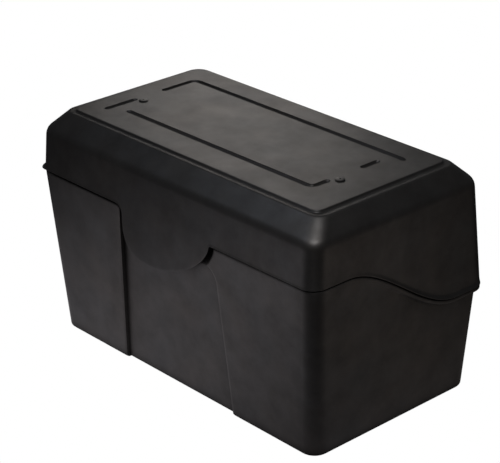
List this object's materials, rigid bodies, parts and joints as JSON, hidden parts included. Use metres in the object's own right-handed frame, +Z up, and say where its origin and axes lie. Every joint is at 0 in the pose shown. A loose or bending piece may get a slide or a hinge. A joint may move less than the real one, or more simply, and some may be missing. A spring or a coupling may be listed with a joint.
{
  "type": "battery box",
  "caption": "Moulded black box for a large lead-acid battery: tapered tub, deep cap lid that hinges at the rear, front tongue, cable glands and hold-down bar inside.",
  "frame": {"origin": "centre of the tub's underside, on the surface the box stands on", "axes": "+X along the length to the box's right end, +Z up; the tongue is on the front at -Y and the hinges are on the back at +Y"},
  "size_m": [0.6098, 0.3529, 0.3552],
  "materials": {
    "black_plastic": "moulded black polypropylene with a fine satin grain",
    "zinc_steel": "zinc-plated, satin",
    "painted_steel": "black powder coat",
    "brass": "turned, dull",
    "black_rubber": "matte",
    "gland_nylon": "satin nylon"
  },
  "bodies": {
    "tub": {"tub": "black_plastic", "hinge_left_tub_leaf": "zinc_steel", "hinge_screw_left_tub_inner": "zinc_steel", "hinge_screw_left_tub_outer": "zinc_steel", "hinge_left_pin": "zinc_steel", "hinge_right_tub_leaf": "zinc_steel", "hinge_screw_right_tub_inner": "zinc_steel", "hinge_screw_right_tub_outer": "zinc_steel", "hinge_right_pin": "zinc_steel", "cable_gland_front_body": "gland_nylon", "cable_gland_front_dome_nut": "gland_nylon", "cable_gland_front_lock_nut": "gland_nylon", "cable_gland_front_seal": "black_rubber", "rod_insert_front": "brass", "hold_down_rod_front": "zinc_steel", "hold_down_washer_front": "zinc_steel", "cable_gland_rear_body": "gland_nylon", "cable_gland_rear_dome_nut": "gland_nylon", "cable_gland_rear_lock_nut": "gland_nylon", "cable_gland_rear_seal": "black_rubber", "rod_insert_rear": "brass", "hold_down_rod_rear": "zinc_steel", "hold_down_washer_rear": "zinc_steel", "base_mat": "black_rubber", "hold_down_bar": "painted_steel"},
    "lid": {"lid": "black_plastic", "vent_plug_left": "black_plastic", "vent_plug_right": "black_plastic", "hinge_left_lid_leaf": "zinc_steel", "hinge_right_lid_leaf": "zinc_steel", "hinge_screw_left_lid_inner": "zinc_steel", "hinge_screw_left_lid_outer": "zinc_steel", "hinge_screw_right_lid_inner": "zinc_steel", "hinge_screw_right_lid_outer": "zinc_steel"},
    "wing_nut_front": {"hold_down_wing_nut_front": "zinc_steel"},
    "wing_nut_rear": {"hold_down_wing_nut_rear": "zinc_steel"}
  },
  "joints": [
    {"name": "lid_hinge", "type": "hinge", "parent": "tub", "child": "lid", "pos_m": [0, 0.1693, 0.166], "axis": [-1, 0, 0], "range_deg": [0, 110]},
    {"name": "wing_nut_front_turn", "type": "hinge", "parent": "tub", "child": "wing_nut_front", "pos_m": [0, -0.131, 0.2504], "axis": [0, 0, 1], "continuous": true},
    {"name": "wing_nut_rear_turn", "type": "hinge", "parent": "tub", "child": "wing_nut_rear", "pos_m": [0, 0.131, 0.2504], "axis": [0, 0, 1], "continuous": true}
  ]
}
